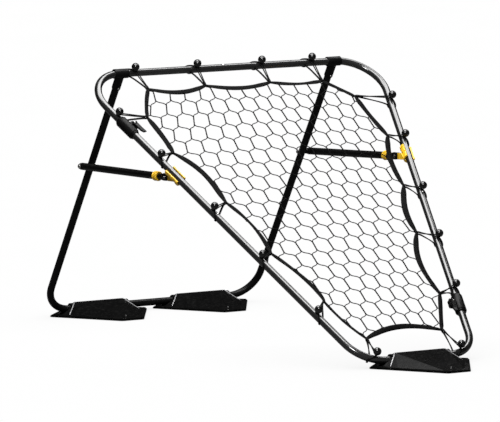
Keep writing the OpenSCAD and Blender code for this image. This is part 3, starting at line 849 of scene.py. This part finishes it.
FINISHES = [
    (ring_paint, 0.0, ["top_tube_left", "top_tube_right", "side_tube_left", "side_tube_right",
                       "bottom_tube"]),
    (leg_paint, 0.0, ["leg_tube_left", "leg_tube_right", "arm_tube_left", "arm_tube_right",
                      "arm_inner_tube_left", "arm_inner_tube_right"]),
    (black, 1.1, ["frame_sleeve_left", "frame_sleeve_right", "leg_coupling_left",
                  "leg_coupling_right", "arm_end_left", "arm_end_right", "arm_fork_left",
                  "arm_fork_right"]),
    (black, 0.8, ["clamp_lever_left", "clamp_lever_right", "arm_spacers"]),
    (foot_black, 1.2, ["front_foot_shell", "rear_foot_shell_left", "rear_foot_shell_right",
                       "front_foot_base", "rear_foot_base_left", "rear_foot_base_right"]),
    (yellow, 1.0, ["tube_clip_left", "tube_clip_right"]),
    (bright, 0.4, ["clamp_bolts", "clamp_pins", "clamp_nuts", "top_bar_button",
                   "side_button_left", "side_button_right", "leg_button_left",
                   "leg_button_right", "rear_bar_button", "front_foot_screws",
                   "rear_foot_screws_left", "rear_foot_screws_right", "arm_bolts", "arm_nuts",
                   "clip_rivet_left", "clip_rivet_right"]),
]


def round_edges(obj, width_mm):
    """Welds a CAD mesh in passing and rounds its sharp edges."""
    weld = obj.modifiers.new("weld", "WELD")
    weld.merge_threshold = 0.00002
    bevel = obj.modifiers.new("rounding", "BEVEL")
    bevel.width = width_mm * MM
    bevel.segments = 3
    bevel.limit_method = "ANGLE"
    bevel.angle_limit = math.radians(32)
    bevel.harden_normals = True


for material, width, names in FINISHES:
    for name in names:
        node = frame["nodes"][name]
        node.data.materials.clear()
        node.data.materials.append(material)
        if width:
            round_edges(node, width)

# ---------------------------------------------------------------- floor, light and camera


def floor_with_painted_shadows():
    """A white glowing floor to the camera, with soft contact shadows painted from ambient
    occlusion; a dim grey one to reflections.
    """
    m = Shader("floor")
    occlusion = m.node("AmbientOcclusion", Distance=0.45, samples=12, out=1)
    marble = m.noise(1.5, 3.0)
    # Painted contact shadow: the floor's glow is darkened where ambient occlusion finds the object
    # near, with a faint random tone on top.
    painted_shadow_tone = m.math("MULTIPLY", m.span(occlusion, 0.25, 1.0, 0.80, 1.0),
                  m.span(marble, 0.3, 0.7, 0.995, 1.0))
    seen = m.node("Emission", m.node("CombineXYZ", painted_shadow_tone, painted_shadow_tone, painted_shadow_tone), 1.0)
    dim = m.node("BsdfDiffuse", grey(0.1))
    camera_ray = m.node("LightPath", out=0)
    mixed = m.node("MixShader", camera_ray, dim, seen)
    m.tree.links.new(mixed, m.tree.nodes["Material Output"].inputs[0])
    return m.material


FLOOR_HALF = 60.0
FLOOR_Z = -0.0005
floor_mesh = bpy.data.meshes.new("floor")
floor_mesh.from_pydata(
    [(-FLOOR_HALF, -FLOOR_HALF, FLOOR_Z), (FLOOR_HALF, -FLOOR_HALF, FLOOR_Z),
     (FLOOR_HALF, FLOOR_HALF, FLOOR_Z), (-FLOOR_HALF, FLOOR_HALF, FLOOR_Z)],
    [], [(0, 1, 2, 3)],
)
floor_mesh.materials.append(floor_with_painted_shadows())
floor = bpy.data.objects.new("floor", floor_mesh)
bpy.context.scene.collection.objects.link(floor)


def soft_box(name, centre, aim, size, radiance):
    """A rectangular area light of a given radiance, facing a point."""
    data = bpy.data.lights.new(name, "AREA")
    data.shape = "RECTANGLE"
    data.size, data.size_y = size
    data.energy = radiance * math.pi * size[0] * size[1]
    obj = bpy.data.objects.new(name, data)
    bpy.context.scene.collection.objects.link(obj)
    obj.location = centre
    obj.rotation_euler = (Vector(aim) - Vector(centre)).to_track_quat("-Z", "Y").to_euler()


soft_box("overhead", (0.6, 1.0, 4.0), (0.6, 1.0, 0.0), (6.0, 1.3), 7.5)
soft_box("spine", (-0.3, -0.7, 4.0), (-0.3, -0.7, 0.0), (2.2, 2.2), 9.0)
soft_box("key", (-2.6, -3.6, 3.6), (0.0, 0.0, 0.5), (0.9, 0.9), 60.0)

# The surroundings are brighter on the camera's side, and dark behind the object
CAMERA_SIDE = (-0.52, -0.80, 0.30)
BEHIND = 0.01
IN_FRONT = 0.17


def surroundings():
    """White to the camera. To all else, brighter on the camera's side and dark behind."""
    world = bpy.data.worlds.new("studio")
    world.use_nodes = True
    tree = world.node_tree
    background = tree.nodes["Background"]
    towards = tree.nodes.new("ShaderNodeVectorMath")
    towards.operation = "DOT_PRODUCT"
    towards.inputs[1].default_value = CAMERA_SIDE
    tree.links.new(tree.nodes.new("ShaderNodeTexCoord").outputs[0], towards.inputs[0])
    fade = tree.nodes.new("ShaderNodeMapRange")
    fade.inputs["To Min"].default_value = BEHIND
    fade.inputs["To Max"].default_value = IN_FRONT
    tree.links.new(towards.outputs[1], fade.inputs[0])
    tree.links.new(fade.outputs[0], background.inputs[0])
    white = tree.nodes.new("ShaderNodeBackground")
    white.inputs[0].default_value = grey(1.0)
    rays = tree.nodes.new("ShaderNodeLightPath")
    mix = tree.nodes.new("ShaderNodeMixShader")
    tree.links.new(rays.outputs[0], mix.inputs[0])
    tree.links.new(background.outputs[0], mix.inputs[1])
    tree.links.new(white.outputs[0], mix.inputs[2])
    tree.links.new(mix.outputs[0], tree.nodes["World Output"].inputs[0])
    return world


bpy.context.scene.world = surroundings()

CAMERA_AT = (-11.126, -17.224, 2.772)
YAW, PITCH, ROLL = math.radians(32.493), math.radians(6.482), math.radians(-0.12)
camera = bpy.data.cameras.new("camera")
camera.sensor_width = 36.0
camera.lens = 428.1
camera.clip_end = 200.0
ahead = Vector((math.sin(YAW) * math.cos(PITCH), math.cos(YAW) * math.cos(PITCH),
                -math.sin(PITCH)))
level = Vector((math.cos(YAW), -math.sin(YAW), 0))
above = level.cross(ahead)
right = level * math.cos(ROLL) + above * math.sin(ROLL)
top = above * math.cos(ROLL) - level * math.sin(ROLL)
view = bpy.data.objects.new("camera", camera)
view.matrix_world = Matrix.Translation(CAMERA_AT) @ Matrix(
    (right, top, -ahead)).transposed().to_4x4()
bpy.context.scene.collection.objects.link(view)
bpy.context.scene.camera = view
bpy.context.scene.view_settings.view_transform = "Standard"
